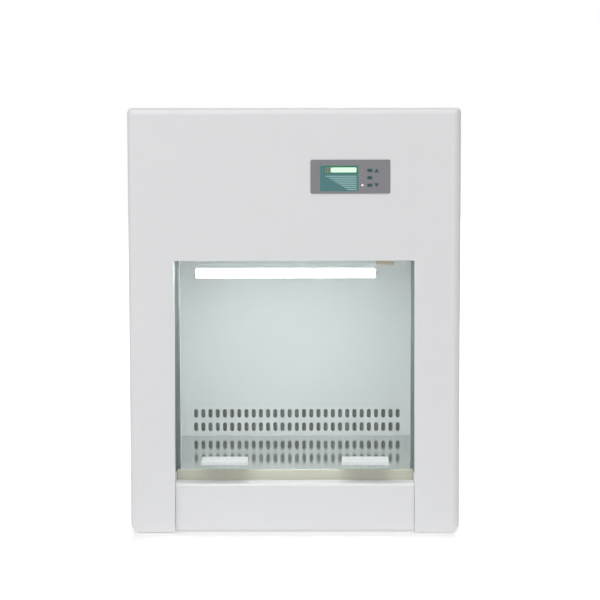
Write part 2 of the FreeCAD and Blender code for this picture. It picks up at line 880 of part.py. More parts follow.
def lamp_connector():
    """The moulded connector block under the ceiling beside the lamp."""
    start = lamp_offset + lamp_length / 2 + touch_gap
    front = at(lamp_set_back)
    body = block(start, start + connector_length, front, front + connector_depth,
                 ceiling - connector_drop, ceiling)
    return body.makeChamfer(sheet, [e for e in body.Edges if e.CenterOfMass.z < ceiling - connector_drop / 2])


def uv_tube():
    """The germicidal tube at the back of the ceiling."""
    return rod((-uv_length / 2, at(uv_set_back), ceiling - uv_drop), (1, 0, 0), uv_radius, uv_length)


def uv_holders():
    """The two lamp holders that the tube plugs into."""
    holders = []
    half = uv_holder_side / 2
    for x in (-uv_length / 2 - uv_holder_width, uv_length / 2):
        holders.append(block(x, x + uv_holder_width, at(uv_set_back) - half, at(uv_set_back) + half,
                             ceiling - uv_holder_side, ceiling))
    return Part.makeCompound(holders)


# Control panel
def pill(x, z, length, height, front, back):
    """An upright round-ended block between two set-backs."""
    radius = height / 2
    return rounded_plate(x - length / 2, x + length / 2, z - radius, z + radius, radius - pill_flat,
                         radius - pill_flat, at(front), at(back))


def arrow(x, z, side, pointing, front, back):
    """A three-cornered block between two set-backs, pointing up or down."""
    rise = side * math.sqrt(3) / 4 * pointing
    outline = [(x - side / 2, z - rise), (x + side / 2, z - rise), (x, z + rise)]
    return prism(outline, on_xz(at(front)), (0, back - front, 0))


def key_shape(name, grow, front, back):
    """A key's own outline, grown all round by a margin."""
    if name in arrow_keys:
        pointing, z = arrow_keys[name]
        return arrow(arrow_x, z, arrow_side + 2 * grow * math.sqrt(3), pointing, front, back)
    return pill(key_x, pill_keys[name], key_length + 2 * grow, key_height + 2 * grow, front, back)


pill_keys = {"key_top": key_z + key_pitch, "key_middle": key_z, "key_bottom": key_z - key_pitch}
arrow_keys = {"key_up": (1, key_z + key_pitch), "key_down": (-1, key_z - key_pitch)}
lcd_z = label_z + label_height / 2 - lcd_drop


def key(name):
    """A push key: its cap in the bezel, a flange behind it and a stem towards its switch."""
    cap = key_shape(name, 0.0, -bezel_proud, touch_gap)
    flange = key_shape(name, key_flange, touch_gap, touch_gap + key_flange_thickness)
    middle = flange.CenterOfMass
    stem = rod((middle.x, at(touch_gap), middle.z), (0, 1, 0), key_flange, key_stem)
    return cap.fuse([flange, stem]).removeSplitter()


def control_bezel():
    """The grey panel on the fascia, with a pocket for the label and holes for window, lamps and keys."""
    x0 = bezel_x - bezel_width / 2
    z0 = bezel_z - bezel_height / 2
    plate = rounded_plate(x0, x0 + bezel_width, z0, z0 + bezel_height, bezel_corner, bezel_corner,
                          at(-bezel_proud), at(0))
    pocket = block(label_x - label_width / 2, label_x + label_width / 2, at(-bezel_proud),
                   at(label_thickness - bezel_proud), label_z - label_height / 2, label_z + label_height / 2)
    holes = [pocket, lcd_block(-bezel_proud, 0)]
    holes += [key_shape(name, key_clearance, -bezel_proud, 0) for name in list(pill_keys) + list(arrow_keys)]
    holes += [rod((led_x, at(-bezel_proud), z), (0, 1, 0), led_radius, bezel_proud)
              for z in pill_keys.values()]
    return drilled(plate, holes)


def lcd_block(front, back):
    """The display's window between two set-backs."""
    return block(lcd_x - lcd_width / 2, lcd_x + lcd_width / 2, at(front), at(back),
                 lcd_z - lcd_height / 2, lcd_z + lcd_height / 2)


def display_label():
    """The printed sheet round the display's window."""
    film = block(label_x - label_width / 2, label_x + label_width / 2, at(-bezel_proud),
                   at(label_thickness - bezel_proud), label_z - label_height / 2, label_z + label_height / 2)
    return film.cut(lcd_block(-bezel_proud, 0))


def indicator_leds():
    """Three indicator lamps, from the circuit board to the bezel's face."""
    return Part.makeCompound([rod((led_x, at(-bezel_proud), z), (0, 1, 0), led_radius,
                                  bezel_proud + board_set_back) for z in pill_keys.values()])


def standoff_places():
    """The (x, z) of the circuit board's four pillars."""
    x = bezel_width / 2 - standoff_inset
    z = bezel_height / 2 - standoff_inset
    return [(bezel_x + sx * x, bezel_z + sz * z) for sx in (-1, 1) for sz in (-1, 1)]


def board_standoffs():
    """Four pillars between the bezel and the circuit board."""
    return Part.makeCompound([rod((x, at(0), z), (0, 1, 0), standoff_radius, board_set_back)
                              for x, z in standoff_places()])


def control_board():
    """The circuit board with its display module and one switch behind each key."""
    x = bezel_width / 2 - bezel_overlap - touch_gap
    z = bezel_height / 2 - bezel_overlap - touch_gap
    board = block(bezel_x - x, bezel_x + x, at(board_set_back), at(board_set_back + board_thickness),
                  bezel_z - z, bezel_z + z)
    pieces = [lcd_block(0, board_set_back)]
    for name in list(pill_keys) + list(arrow_keys):
        middle = key_shape(name, 0.0, 0, touch_gap).CenterOfMass
        front = touch_gap + key_stem + key_gap
        pieces.append(block(middle.x - key_height / 2, middle.x + key_height / 2, at(front), at(board_set_back),
                            middle.z - key_height / 2, middle.z + key_height / 2))
    return board.fuse(pieces).removeSplitter()


# Power inlet and supply
inlet_face = rear_panel_y + sheet + inlet_flange_thickness
socket_z = inlet_z + socket_rise
rocker_z = inlet_z - rocker_drop
rocker_y = inlet_face - rocker_radius


def power_inlet():
    """The moulded module in the rear panel: a plug socket, a fuse drawer's slot and a rocker's well."""
    w = inlet_width / 2
    h = inlet_height / 2
    flange = rounded_plate(inlet_x - w - inlet_flange, inlet_x + w + inlet_flange, inlet_z - h - inlet_flange,
                           inlet_z + h + inlet_flange, inlet_flange, inlet_flange,
                           rear_panel_y + sheet, inlet_face)
    body = block(inlet_x - w, inlet_x + w, rear_panel_y + sheet - inlet_body_depth, inlet_face,
                 inlet_z - h, inlet_z + h)
    socket = block(inlet_x - socket_width / 2, inlet_x + socket_width / 2, inlet_face - socket_depth,
                   inlet_face, socket_z - socket_height / 2, socket_z + socket_height / 2)
    upper = [e for e in socket.Edges if e.CenterOfMass.z > socket_z + pin_width
             and abs(e.CenterOfMass.x - inlet_x) > pin_width]
    socket = socket.makeChamfer(pin_width, upper)
    drawer = block(inlet_x - drawer_width / 2, inlet_x + drawer_width / 2, inlet_face - drawer_depth,
                   inlet_face, inlet_z - drawer_height / 2, inlet_z + drawer_height / 2)
    reach = rocker_radius + rocker_clearance
    side = rocker_width / 2 + rocker_clearance
    well = block(inlet_x - side, inlet_x + side, rocker_y - reach, inlet_face,
                 rocker_z - reach, rocker_z + reach)
    pivot = rod((inlet_x - side - pivot_length, rocker_y, rocker_z), (1, 0, 0), pivot_radius + pivot_clearance,
                2 * (side + pivot_length))
    return flange.fuse(body).removeSplitter().cut(Part.makeCompound([socket, drawer, well.fuse(pivot)]))


def inlet_pins():
    """Three contact blades in the plug socket."""
    pins = []
    foot = inlet_face - socket_depth
    for x, z in ((-pin_spread, -pin_stagger / 2), (0.0, pin_stagger / 2), (pin_spread, -pin_stagger / 2)):
        pins.append(block(inlet_x + x - pin_thickness / 2, inlet_x + x + pin_thickness / 2, foot,
                          foot + pin_length, socket_z + z - pin_width / 2, socket_z + z + pin_width / 2))
    return Part.makeCompound(pins)


def fuse_drawer():
    """The small drawer that holds the fuses, with a nail lip along its face."""
    x = drawer_width / 2 - drawer_clearance
    z = drawer_height / 2 - drawer_clearance
    body = block(inlet_x - x, inlet_x + x, inlet_face - drawer_depth + drawer_clearance, inlet_face,
                 inlet_z - z, inlet_z + z)
    lip = block(inlet_x - x / 2, inlet_x + x / 2, inlet_face, inlet_face + drawer_lip,
                inlet_z + z - drawer_lip, inlet_z + z)
    return body.fuse(lip).removeSplitter()


def power_rocker():
    """The mains rocker: a drum with a shallow V face, tipped to one side on its two pivots."""
    half = rocker_width / 2
    drum = rod((inlet_x - half, rocker_y, rocker_z), (1, 0, 0), rocker_radius, rocker_width)
    slope = math.tan(math.radians(rocker_tilt))
    face_y = rocker_y + rocker_radius / 2
    rise = rocker_radius * slope
    far = rocker_y + 2 * rocker_radius
    outline = [(face_y, rocker_z), (face_y + rise, rocker_z + rocker_radius), (far, rocker_z + rocker_radius),
               (far, rocker_z - rocker_radius), (face_y + rise, rocker_z - rocker_radius)]
    drum = drum.cut(prism(outline, on_yz(inlet_x - half), (rocker_width, 0, 0)))
    reach = half + pivot_length + rocker_clearance - touch_gap
    pivots = rod((inlet_x - reach, rocker_y, rocker_z), (1, 0, 0), pivot_radius, 2 * reach)
    rocker = drum.fuse(pivots).removeSplitter()
    rocker.rotate(FreeCAD.Vector(inlet_x, rocker_y, rocker_z), FreeCAD.Vector(1, 0, 0), rocker_tilt)
    return rocker


def power_supply():
    """The supply unit on the base pan, below the work tray."""
    back = at(chamber_back) - support_flange
    box = block(-supply_width / 2, supply_width / 2, back - supply_depth, back,
                pan_top, pan_top + supply_height)
    return box.makeChamfer(supply_edge, [e for e in box.Edges if e.CenterOfMass.z > pan_top + supply_edge])


# Screws
def screw(length):
    """A round-headed screw with a cross-wise socket, head up and seated at the origin."""
    head = Part.makeCylinder(head_radius, head_height)
    head = head.makeFillet(head_height / 2, [e for e in head.Edges if e.CenterOfMass.z > head_height / 2
                                             and e.isClosed()])
    arm = head_radius / 2
    half = head_socket / 2
    for x, y in ((arm, half), (half, arm)):
        head = head.cut(block(-x, x, -y, y, head_height - head_socket, head_height))
    shank = Part.makeCylinder(screw_radius, length, FreeCAD.Vector(0, 0, -length))
    return head.fuse(shank).removeSplitter()


def cover_screws():
    """The screws of the top cover."""
    screws = []
    for x, y in cover_screw_places():
        one = screw(screw_length)
        one.translate(FreeCAD.Vector(x, y, panel_top + sheet))
        screws.append(one)
    return Part.makeCompound(screws)


def rear_screws():
    """The screws of the rear panel."""
    screws = []
    for x, z in rear_screw_places():
        one = screw(screw_length)
        one.rotate(FreeCAD.Vector(0, 0, 0), FreeCAD.Vector(1, 0, 0), -90)
        one.translate(FreeCAD.Vector(x, rear_panel_y + sheet, z))
        screws.append(one)
    return Part.makeCompound(screws)


document = FreeCAD.newDocument("cabinet")
pieces = {
    "front_fascia": front_fascia(),
    "right_side_panel": side_panel(),
    "left_side_panel": mirrored(side_panel()),
    "rear_posts": rear_posts(),
    "rear_panel": rear_panel(),
    "top_cover": top_cover(),
    "base_pan": base_pan(),
    "rubber_feet": rubber_feet(),
    "lower_front_panel": lower_front_panel(),
    "sill_seal": sill_seal(),
    "work_tray": work_tray(),
    "tray_supports": tray_supports(),
    "right_chamber_wall": chamber_wall(),
    "left_chamber_wall": mirrored(chamber_wall()),
    "right_chamber_trim": chamber_trim(),
    "left_chamber_trim": mirrored(chamber_trim()),
    "chamber_back_wall": chamber_back_wall(),
    "right_sash_guide": sash_guide(),
    "left_sash_guide": mirrored(sash_guide()),
    "sash_glass": sash_glass(),
    "right_sash_pull": sash_pull(),
    "left_sash_pull": mirrored(sash_pull()),
    "ceiling_diffuser": ceiling_diffuser(),
    "hepa_gasket": frame_ring(gasket_width, gasket_bottom, filter_bottom),
    "hepa_frame": frame_ring(filter_frame, filter_bottom, filter_top),
    "hepa_media": hepa_media(),
    "plenum_casing": frame_ring(sheet, filter_top, lid_bottom),
    "plenum_lid": plenum_lid(),
    "inlet_ring": inlet_ring(),
    "motor_bridge": motor_bridge(),
    "fan_motor": fan_motor(),
    "fan_shaft": fan_shaft(),
    "fan_impeller": fan_impeller(),
    "intake_grille": intake_grille(),
    "prefilter_pad": prefilter_pad(),
    "lamp_batten": lamp_batten(),
    "lamp_diffuser": lamp_diffuser(),
    "lamp_end_caps": lamp_end_caps(),
    "lamp_brackets": lamp_brackets(),
    "lamp_connector": lamp_connector(),
    "uv_tube": uv_tube(),
    "uv_holders": uv_holders(),
    "control_bezel": control_bezel(),
    "display_label": display_label(),
    "lcd_window": lcd_block(-bezel_proud, 0),
    "indicator_leds": indicator_leds(),
    "board_standoffs": board_standoffs(),
    "control_board": control_board(),
    "power_inlet": power_inlet(),
    "inlet_pins": inlet_pins(),
    "fuse_drawer": fuse_drawer(),
    "power_rocker": power_rocker(),
    "power_supply": power_supply(),
    "cover_screws": cover_screws(),
    "rear_screws": rear_screws(),
}
for name in list(pill_keys) + list(arrow_keys):
    pieces[name] = key(name)

for name, shape in pieces.items():
    if not shape.isValid():
        print("not valid:", name)
    shape.exportStep("parts/" + name + ".step")
print(len(pieces), "pieces written")
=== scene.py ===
import math
import bpy
import numpy as np
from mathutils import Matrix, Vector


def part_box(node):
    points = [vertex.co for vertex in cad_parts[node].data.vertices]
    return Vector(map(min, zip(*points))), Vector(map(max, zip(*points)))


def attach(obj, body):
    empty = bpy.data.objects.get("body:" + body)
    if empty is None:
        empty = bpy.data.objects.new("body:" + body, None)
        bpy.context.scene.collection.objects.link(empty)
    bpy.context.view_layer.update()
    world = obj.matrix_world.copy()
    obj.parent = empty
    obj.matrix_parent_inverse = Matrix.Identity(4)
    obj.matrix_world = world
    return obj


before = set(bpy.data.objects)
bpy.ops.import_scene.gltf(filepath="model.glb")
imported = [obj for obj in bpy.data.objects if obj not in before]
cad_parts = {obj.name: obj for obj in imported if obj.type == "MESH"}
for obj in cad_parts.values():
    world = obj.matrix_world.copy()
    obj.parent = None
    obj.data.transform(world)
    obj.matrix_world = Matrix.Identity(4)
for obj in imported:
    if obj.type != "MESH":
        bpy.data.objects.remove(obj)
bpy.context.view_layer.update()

# Outer casing: folded sheet steel, powder coated white in one batch.
# The fascia is one pressing with rolled edges; sides, lid and back are screwed on behind it.
# The coat has a fine orange-peel skin and a very faint cloudiness.


def surface_grain():
    """Shader group: two noises on Object coordinates, a cloud that shades the colour and a fine grain
    that gives height and spreads the roughness."""
    group = bpy.data.node_groups.new("surface_grain", "ShaderNodeTree")
    sockets = (("Colour", "NodeSocketColor"), ("Second Colour", "NodeSocketColor"),
               ("Cloud Scale", "NodeSocketFloat"), ("Cloud Amount", "NodeSocketFloat"),
               ("Grain Scale", "NodeSocketFloat"), ("Roughness", "NodeSocketFloat"),
               ("Roughness Spread", "NodeSocketFloat"))
    for name, kind in sockets:
        group.interface.new_socket(name, in_out="INPUT", socket_type=kind)
    for name, kind in (("Colour", "NodeSocketColor"), ("Roughness", "NodeSocketFloat"),
                       ("Height", "NodeSocketFloat")):
        group.interface.new_socket(name, in_out="OUTPUT", socket_type=kind)
    add = group.nodes.new
    link = group.links.new
    given = add("NodeGroupInput")
    made = add("NodeGroupOutput")
    place = add("ShaderNodeTexCoord")
    cloud = add("ShaderNodeTexNoise")
    cloud.inputs["Detail"].default_value = 3.0
    grain = add("ShaderNodeTexNoise")
    grain.inputs["Detail"].default_value = 2.0
    for noise, scale in ((cloud, "Cloud Scale"), (grain, "Grain Scale")):
        link(place.outputs["Object"], noise.inputs["Vector"])
        link(given.outputs[scale], noise.inputs["Scale"])
    share = add("ShaderNodeMath")
    share.operation = "MULTIPLY"
    link(cloud.outputs["Fac"], share.inputs[0])
    link(given.outputs["Cloud Amount"], share.inputs[1])
    mix = add("ShaderNodeMix")
    mix.data_type = "RGBA"
    link(share.outputs["Value"], mix.inputs["Factor"])
    link(given.outputs["Colour"], mix.inputs["A"])
    link(given.outputs["Second Colour"], mix.inputs["B"])
    link(mix.outputs["Result"], made.inputs["Colour"])
    spread = add("ShaderNodeMath")
    spread.operation = "MULTIPLY_ADD"
    link(cloud.outputs["Fac"], spread.inputs[0])
    link(given.outputs["Roughness Spread"], spread.inputs[1])
    link(given.outputs["Roughness"], spread.inputs[2])
    link(spread.outputs["Value"], made.inputs["Roughness"])
    link(grain.outputs["Fac"], made.inputs["Height"])
    return group


grain_group = surface_grain()


def grained(name, colour, second, rough, spread, cloud=(6.0, 0.5), grain=900.0, bump=(0.08, 0.0002),
            **plain):
    """A Principled material whose colour, roughness and height come from the grain group. The cloud has
    a scale and an amount, the bump a strength and a distance. Plain values, the same all over, go
    straight to the shader's own sockets."""
    material = bpy.data.materials.new(name)
    material.use_nodes = True
    tree = material.node_tree
    shader = tree.nodes["Principled BSDF"]
    skin = tree.nodes.new("ShaderNodeGroup")
    skin.node_tree = grain_group
    skin.inputs["Colour"].default_value = (*colour, 1.0)
    skin.inputs["Second Colour"].default_value = (*second, 1.0)
    skin.inputs["Cloud Scale"].default_value = cloud[0]
    skin.inputs["Cloud Amount"].default_value = cloud[1]
    skin.inputs["Grain Scale"].default_value = grain
    skin.inputs["Roughness"].default_value = rough
    skin.inputs["Roughness Spread"].default_value = spread
    height = tree.nodes.new("ShaderNodeBump")
    height.inputs["Strength"].default_value = bump[0]
    height.inputs["Distance"].default_value = bump[1]
    tree.links.new(skin.outputs["Colour"], shader.inputs["Base Color"])
    tree.links.new(skin.outputs["Roughness"], shader.inputs["Roughness"])
    tree.links.new(skin.outputs["Height"], height.inputs["Height"])
    tree.links.new(height.outputs["Normal"], shader.inputs["Normal"])
    for socket, value in plain.items():
        shader.inputs[socket.replace("_", " ")].default_value = value
    return material


def dress(material, *names):
    """Gives CAD nodes one material in every slot."""
    for name in names:
        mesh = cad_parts[name].data
        mesh.materials.clear()
        mesh.materials.append(material)


powder_coat = grained("powder_coat", (0.70, 0.70, 0.712), (0.68, 0.68, 0.692), 0.36, 0.10)
dress(powder_coat, "front_fascia", "left_side_panel", "right_side_panel", "rear_panel", "top_cover",
      "lower_front_panel")

# Chamber lining: the same sheet steel, coated in a smoother white inside.
# The walls stand on the base pan, and the trims close the corners beside the guides.
# A grey sheet hangs in the duct behind the back wall and shows through its slots.
lining_coat = grained("lining_coat", (0.90, 0.916, 0.918), (0.88, 0.896, 0.898), 0.30, 0.08)
dress(lining_coat, "left_chamber_wall", "right_chamber_wall", "left_chamber_trim", "right_chamber_trim",
      "chamber_back_wall", "ceiling_diffuser", "lamp_brackets")


def fixed(name, points, faces, material):
    """A new piece from its points and faces, in one material, that stays with the cabinet."""
    mesh = bpy.data.meshes.new(name)
    mesh.from_pydata(points, [], faces)
    mesh.materials.append(material)
    piece = bpy.data.objects.new(name, mesh)
    bpy.context.scene.collection.objects.link(piece)
    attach(piece, "cabinet")
    return piece


def carried(name, rings, material):
    """A closed section carried along a path: rings of corner points, joined ring to ring by four-sided
    faces and closed at both ends."""
    count, corners = rings.shape[:2]
    corner = np.arange(corners)
    after = np.roll(corner, -1)
    ring = np.arange(count - 1)[:, None] * corners
    beyond = ring + corners
    sides = np.stack([ring + corner, ring + after, beyond + after, beyond + corner], axis=-1)
    ends = [corner[::-1].tolist(), (corner + (count - 1) * corners).tolist()]
    return fixed(name, rings.reshape(-1, 3).tolist(), sides.reshape(-1, 4).tolist() + ends, material)


def duct_liner(wall_back, tray_top, material):
    """The grey sheet in the air duct behind the slots. Its section is a flat bar, carried along x,
    and its depth is a shallow wave: the cosine of x over the slots' pitch."""
    slot_pitch = 0.0165
    stand_off = 0.010
    wave = 0.0012
    thickness = 0.0008
    half_length = 0.245
    stations = 361
    low = tray_top + 0.004
    high = tray_top + 0.074
    x = np.linspace(-half_length, half_length, stations)
    depth = wall_back + stand_off + wave * np.cos(2 * np.pi * x / slot_pitch)
    corners = ((depth, low), (depth + thickness, low), (depth + thickness, high), (depth, high))
    rings = np.stack([np.stack([x, y, np.full_like(x, z)], axis=-1) for y, z in corners], axis=1)
    carried("duct_liner", rings, material)


liner_grey = grained("liner_grey", (0.40, 0.41, 0.40), (0.35, 0.36, 0.35), 0.7, 0.1)
duct_liner(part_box("chamber_back_wall")[1].y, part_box("work_tray")[1].z, liner_grey)

# Work tray: stainless sheet, polished until it mirrors the wall behind it.
# It rests on two folded supports, and wiping has left its polish slightly uneven.
tray_steel = grained("tray_steel", (0.58, 0.60, 0.58), (0.54, 0.56, 0.54), 0.06, 0.05, grain=10.0,
                     bump=(0.02, 0.002), Metallic=0.85)
dress(tray_steel, "work_tray")

# Inner structure: zinc-coated sheet, folded and spot welded, with a broad spangle.
# It carries the tray, the filter and the fan, and shows only from below or with a panel off.
zinc = grained("zinc_sheet", (0.55, 0.57, 0.59), (0.42, 0.44, 0.46), 0.32, 0.2, cloud=(60.0, 1.0),
               Metallic=1.0)
dress(zinc, "base_pan", "rear_posts", "tray_supports", "plenum_casing", "plenum_lid", "inlet_ring",
      "motor_bridge", "power_supply")

# Feet: four black rubber mouldings with a dull skin.
# Each is pushed into the base pan and keeps the casing off the bench.
rubber = grained("foot_rubber", (0.03, 0.03, 0.03), (0.05, 0.05, 0.05), 0.7, 0.15)
dress(rubber, "rubber_feet")

# Sill seal: an elastomer strip with rounded edges; its cream colour is painted shade, the warm shade that
# falls on the sill under the pane.
# It is glued behind the lower front panel, and the shut sash stands on it.
# Painted shade: cream, and a little darker than the white coat.
seal = grained("seal_strip", (0.65, 0.65, 0.54), (0.55, 0.55, 0.45), 0.5, 0.1)
dress(seal, "sill_seal")

# Sash guides: dark grey mouldings, grooved for the pane and screwed behind the window's sides.
# Thin strips of the same plastic cover the window's sides in front of the grooves: painted shade, dark
# strips laid where the sides fall dark.
guide = grained("guide_plastic", (0.195, 0.212, 0.217), (0.168, 0.184, 0.189), 0.60, 0.1,
                Specular_IOR_Level=0.12)
dress(guide, "left_sash_guide", "right_sash_guide")

fascia_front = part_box("front_fascia")[0].y
sill_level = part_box("sill_seal")[1].z
head_gap = 0.005
head_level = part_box("chamber_back_wall")[1].z - head_gap
window_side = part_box("right_sash_guide")[0].x
shade_strip_back = (0.052, 0.0985)


def side_shade_strip(name, side, shade_strip_front):
    """A thin dark strip on the window's side, painted shade where the side falls dark. One parameter runs
    up from sill to head, the other goes round the strip's section, and both edges of the section lean
    back in a straight line as they rise."""
    thickness = 0.0004
    stations = 25
    front = fascia_front + np.linspace(*shade_strip_front, stations)
    back = fascia_front + np.linspace(*shade_strip_back, stations)
    height = np.linspace(sill_level, head_level, stations)
    inner_side = side - math.copysign(thickness, side)
    left = np.full(stations, min(side, inner_side))
    right = np.full(stations, max(side, inner_side))
    corners = ((left, front), (right, front), (right, back), (left, back))
    rings = np.stack([np.stack([x, y, height], axis=-1) for x, y in corners], axis=1)
    carried(name, rings, guide)


# Painted shade: dark strips along both sides of the window, where they fall dark.
side_shade_strip("left_side_shade_strip", -window_side, shade_strip_front=(0.018, 0.031))
side_shade_strip("right_side_shade_strip", window_side, shade_strip_front=(0.016, 0.030))

# Sash: a toughened pane with a faint green body, clear to the light that lights the chamber.
# Two white coated finger pulls, folded from sheet, are bonded to its face.
glass = grained("sash_pane", (0.975, 0.992, 0.988), (0.970, 0.991, 0.985), 0.0, 0.003, bump=(0.0, 0.0001),
                IOR=1.45, Transmission_Weight=1.0)
pane = glass.node_tree
passing = pane.nodes.new("ShaderNodeBsdfTransparent")
passing.inputs["Color"].default_value = (0.90, 0.94, 0.93, 1.0)
ray = pane.nodes.new("ShaderNodeLightPath")
either_way = pane.nodes.new("ShaderNodeMixShader")
pane.links.new(ray.outputs["Is Shadow Ray"], either_way.inputs["Fac"])
pane.links.new(pane.nodes["Principled BSDF"].outputs["BSDF"], either_way.inputs[1])
pane.links.new(passing.outputs["BSDF"], either_way.inputs[2])
pane.links.new(either_way.outputs["Shader"], pane.nodes["Material Output"].inputs["Surface"])
dress(glass, "sash_glass")
pull_coat = grained("pull_coat", (0.67, 0.68, 0.685), (0.65, 0.66, 0.665), 0.3, 0.1)
dress(pull_coat, "left_sash_pull", "right_sash_pull")

# Air path in the head: a pleated paper filter in a metal frame, a foam gasket, a fibre mat and a fan.
# The fan hangs from a bridge, the mat lies under a moulded grille in the lid.
paper = grained("filter_paper", (0.85, 0.85, 0.80), (0.75, 0.75, 0.70), 0.9, 0.05)
dress(paper, "hepa_media")
extrusion = grained("frame_extrusion", (0.62, 0.63, 0.64), (0.55, 0.56, 0.57), 0.35, 0.15, Metallic=1.0)
dress(extrusion, "hepa_frame")
foam = grained("gasket_foam", (0.05, 0.05, 0.05), (0.08, 0.08, 0.08), 0.9, 0.05)
dress(foam, "hepa_gasket")
mat = grained("mat_fibre", (0.70, 0.74, 0.78), (0.55, 0.60, 0.65), 0.95, 0.02, cloud=(300.0, 1.0),
              grain=2500.0, bump=(0.6, 0.001))
dress(mat, "prefilter_pad")
motor = grained("motor_black", (0.03, 0.03, 0.035), (0.05, 0.05, 0.05), 0.45, 0.1)
dress(motor, "fan_motor", "fan_impeller")
grille = grained("grille_plastic", (0.70, 0.71, 0.72), (0.66, 0.67, 0.68), 0.5, 0.1)
dress(grille, "intake_grille")

# Lamps: a milky strip lamp on two hangers and a germicidal tube in holders, both under the ceiling.
# The strip lamp is lit, and its diffuser and spine both glow; the tube is off.
# Painted shade: the glow is painted dark over the top few millimetres of the diffuser and the spine.
lamp_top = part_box("lamp_diffuser")[1].z
fade_start = lamp_top - 0.0045
fade_end = lamp_top - 0.0025


def lit_milk(name, strength):
    """Milky plastic that glows; over its upper edge the glow is painted dark, a painted shade where the
    mount sits.
    """
    material = grained(name, (0.95, 0.97, 1.0), (0.92, 0.95, 1.0), 0.4, 0.05, Emission_Strength=strength)
    tree = material.node_tree
    place = tree.nodes.new("ShaderNodeTexCoord")
    parts = tree.nodes.new("ShaderNodeSeparateXYZ")
    shade = tree.nodes.new("ShaderNodeMapRange")
    shade.inputs["From Min"].default_value = fade_start
    shade.inputs["From Max"].default_value = fade_end
    colours = tree.nodes.new("ShaderNodeMix")
    colours.data_type = "RGBA"
    colours.inputs["A"].default_value = (0.94, 1.0, 1.0, 1.0)
    colours.inputs["B"].default_value = (0.024, 0.027, 0.027, 1.0)
    tree.links.new(place.outputs["Object"], parts.inputs[0])
    tree.links.new(parts.outputs["Z"], shade.inputs["Value"])
    tree.links.new(shade.outputs["Result"], colours.inputs["Factor"])
    tree.links.new(colours.outputs["Result"], tree.nodes["Principled BSDF"].inputs["Emission Color"])
    return material


dress(lit_milk("lamp_milk", 34.0), "lamp_diffuser")
dress(lit_milk("lamp_spine", 7.0), "lamp_batten")
lamp_white = grained("lamp_white", (0.82, 0.82, 0.80), (0.78, 0.78, 0.76), 0.45, 0.1)
dress(lamp_white, "lamp_end_caps", "uv_holders")
beige = grained("connector_beige", (0.66, 0.60, 0.46), (0.60, 0.54, 0.42), 0.5, 0.1)
dress(beige, "lamp_connector")
tube = grained("uv_glass", (0.85, 0.87, 0.92), (0.80, 0.82, 0.88), 0.1, 0.05)
dress(tube, "uv_tube")

# Control panel: a grey film on a plate, with a teal label, a lit display, keys and indicator lamps.
# The stripes and the display's cells are printed or lit layers, hundredths of a millimetre thick.
# The plate is held to the fascia by the four pillars of the circuit board.
bezel = grained("bezel_film", (0.215, 0.215, 0.23), (0.195, 0.195, 0.21), 0.45, 0.1)
dress(bezel, "control_bezel")
teal = grained("label_teal", (0.070, 0.19, 0.195), (0.060, 0.17, 0.175), 0.4, 0.1)
dress(teal, "display_label")
lcd = grained("lcd_green", (0.035, 0.21, 0.11), (0.030, 0.18, 0.095), 0.2, 0.05)
dress(lcd, "lcd_window")
key_skin = grained("key_teal", (0.024, 0.085, 0.085), (0.020, 0.070, 0.070), 0.45, 0.1)
dress(key_skin, "key_top", "key_middle", "key_bottom", "key_up", "key_down")
clear = grained("led_clear", (0.34, 0.31, 0.30), (0.30, 0.28, 0.27), 0.2, 0.05)
dress(clear, "indicator_leds")
board = grained("board_green", (0.02, 0.12, 0.05), (0.02, 0.10, 0.04), 0.35, 0.1)
dress(board, "control_board")


film_proud = 0.00006


def film_patches(name, patches, face_y, power, material):
    """Flat patches with rounded corners, joined in one mesh. Each outline is a superellipse, x to the
    power plus z to the power equal to one, carried from the face by the film's thickness and closed."""
    steps = 40
    angle = np.linspace(0.0, 2 * np.pi, steps, endpoint=False)
    cos = np.cos(angle)
    sin = np.sin(angle)
    outline_x = np.sign(cos) * np.abs(cos) ** (2 / power)
    outline_z = np.sign(sin) * np.abs(sin) ** (2 / power)
    x0, x1, z0, z1 = np.array(patches).T[:, :, None]
    x = (x0 + x1) / 2 + outline_x * (x1 - x0) / 2
    z = (z0 + z1) / 2 + outline_z * (z1 - z0) / 2
    rings = [np.stack([x, np.full_like(x, y), z], axis=-1) for y in (face_y, face_y - film_proud)]
    points = np.stack(rings, axis=1).reshape(-1, 3)
    back = np.arange(steps)
    after = np.roll(back, -1)
    sides = np.stack([back, after, steps + after, steps + back], axis=-1)
    faces = []
    for start in range(0, len(points), 2 * steps):
        faces += (start + sides).tolist()
        faces.append((start + steps + back).tolist())
        faces.append((start + back[::-1]).tolist())
    return fixed(name, points.tolist(), faces, material)


label_low, label_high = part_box("display_label")
stripe_count = 8
stripe_height = 0.0016
stripe_corners = 6.0
stripe_end = label_high.x - 0.0034
stripe_first = (label_low.x + 0.0106, label_low.z + 0.0292)
stripe_last = (label_low.x + 0.0531, label_low.z + 0.0034)
stripes = []
for step in np.linspace(0.0, 1.0, stripe_count):
    left = stripe_first[0] + step * (stripe_last[0] - stripe_first[0])
    middle = stripe_first[1] + step * (stripe_last[1] - stripe_first[1])
    stripes.append((left, stripe_end, middle - stripe_height / 2, middle + stripe_height / 2))
stripe_ink = grained("stripe_ink", (0.33, 0.53, 0.52), (0.30, 0.49, 0.48), 0.4, 0.1)
film_patches("label_stripes", stripes, label_low.y, stripe_corners, stripe_ink)

